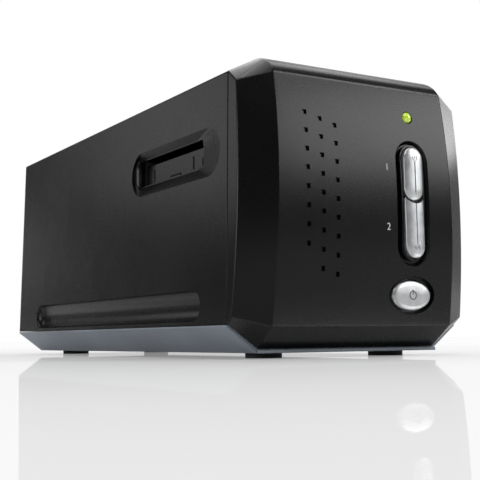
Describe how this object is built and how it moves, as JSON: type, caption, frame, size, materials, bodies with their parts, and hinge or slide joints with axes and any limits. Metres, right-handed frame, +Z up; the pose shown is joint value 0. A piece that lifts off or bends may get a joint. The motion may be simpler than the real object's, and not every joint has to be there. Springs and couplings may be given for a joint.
{
  "type": "film negative scanner",
  "caption": "Desk scanner for strips of film: a long black case on a grey tray with a bowed front, sprung slot doors, a geared scanning carriage and push buttons.",
  "frame": {"origin": "on the floor under the middle of the case", "axes": "+X to the right seen from the front, +Y from the front to the rear, +Z up"},
  "size_m": [0.118, 0.266, 0.1215],
  "materials": {
    "casing": "black satin moulded plastic",
    "tray": "blue-grey satin moulded plastic",
    "silver": "silver-painted plastic caps",
    "rubber": "soft black rubber",
    "steel": "plated steel",
    "dark_plastic": "black matte plastic",
    "white_plastic": "natural white plastic",
    "bronze": "sintered bronze",
    "board": "green solder mask",
    "lamp": "yellow-green light pipe",
    "glass": "clear glass",
    "mirror": "front-silvered mirror",
    "belt": "black belt rubber"
  },
  "bodies": {
    "case": {"top_cover": "casing", "front_bezel": "casing", "rear_panel": "casing", "base_tray": "tray", "foot_front_left": "rubber", "foot_front_right": "rubber", "foot_rear_left": "rubber", "foot_rear_right": "rubber", "case_screw_front_left": "steel", "case_screw_front_right": "steel", "case_screw_rear_left": "steel", "case_screw_rear_right": "steel", "chassis_plate": "steel", "guide_rod_left": "steel", "guide_rod_right": "steel", "stepper_motor": "steel", "gear_stud": "steel", "idler_bracket": "steel", "tension_spring": "steel", "door_pin_left": "steel", "door_pin_right": "steel", "door_spring_left": "steel", "door_spring_right": "steel", "usb_socket": "steel", "button_spring_upper": "steel", "button_spring_lower": "steel", "button_spring_power": "steel", "film_guide": "dark_plastic", "film_guide_cover": "dark_plastic", "power_jack": "dark_plastic", "switch_upper": "dark_plastic", "switch_lower": "dark_plastic", "switch_power": "dark_plastic", "main_board": "board", "button_board": "board", "led_lens": "lamp", "drive_belt": "belt", "button_cable": "belt"},
    "carriage": {"scan_carriage": "dark_plastic", "bush_left_front": "bronze", "bush_left_rear": "bronze", "bush_right": "bronze", "lamp_housing": "white_plastic", "lamp_diffuser": "glass", "scan_mirror": "mirror", "lens_barrel": "dark_plastic", "lens_glass": "glass", "sensor_board": "board", "sensor_chip": "dark_plastic", "belt_clamp": "white_plastic"},
    "drive_wheel": {"drive_gear": "white_plastic"},
    "pinion": {"motor_pinion": "bronze"},
    "idler": {"idler_pulley": "white_plastic"},
    "door_left": {"dust_door_left": "casing"},
    "door_right": {"dust_door_right": "casing"},
    "button_upper": {"upper_button": "silver"},
    "button_lower": {"lower_button": "silver"},
    "button_power": {"power_button": "silver"}
  },
  "joints": [
    {"name": "carriage_travel", "type": "slide", "parent": "case", "child": "carriage", "axis": [0, 1, 0], "range_m": [0, 0.03]},
    {"name": "drive_gear_spin", "type": "hinge", "parent": "case", "child": "drive_wheel", "pos_m": [0.0418, 0.084, 0.0395], "axis": [0, 0, 1], "range_deg": [-256, 2]},
    {"name": "motor_spin", "type": "hinge", "parent": "case", "child": "pinion", "pos_m": [0.0418, 0.099, 0.0395], "axis": [0, 0, 1], "range_deg": [-3, 655]},
    {"name": "idler_spin", "type": "hinge", "parent": "case", "child": "idler", "pos_m": [0.0418, -0.094, 0.046], "axis": [0, 0, 1], "range_deg": [-256, 2]},
    {"name": "door_left_hinge", "type": "hinge", "parent": "case", "child": "door_left", "pos_m": [-0.05028, -0.0596, 0.07965], "axis": [0, 1, 0], "range_deg": [0, 80], "stiffness_Nm_per_rad": 0.0006, "springref_deg": -34.38, "deforming": ["door_spring_left"]},
    {"name": "door_right_hinge", "type": "hinge", "parent": "case", "child": "door_right", "pos_m": [0.05028, -0.0596, 0.07965], "axis": [0, -1, 0], "range_deg": [0, 80], "stiffness_Nm_per_rad": 0.0006, "springref_deg": -34.38, "deforming": ["door_spring_right"]},
    {"name": "upper_button_press", "type": "slide", "parent": "case", "child": "button_upper", "axis": [0, 1, 0], "range_m": [0, 0.001], "stiffness_N_per_m": 200, "springref_m": -0.0015, "deforming": ["button_spring_upper"]},
    {"name": "lower_button_press", "type": "slide", "parent": "case", "child": "button_lower", "axis": [0, 1, 0], "range_m": [0, 0.001], "stiffness_N_per_m": 200, "springref_m": -0.0015, "deforming": ["button_spring_lower"]},
    {"name": "power_button_press", "type": "slide", "parent": "case", "child": "button_power", "axis": [0, 1, 0], "range_m": [0, 0.001], "stiffness_N_per_m": 200, "springref_m": -0.0015, "deforming": ["button_spring_power"]}
  ],
  "couplings": [
    {"joint": "drive_gear_spin", "follows": "carriage_travel", "rad_per_m": -147.06},
    {"joint": "idler_spin", "follows": "carriage_travel", "rad_per_m": -147.06},
    {"joint": "motor_spin", "follows": "carriage_travel", "rad_per_m": 378.15}
  ]
}
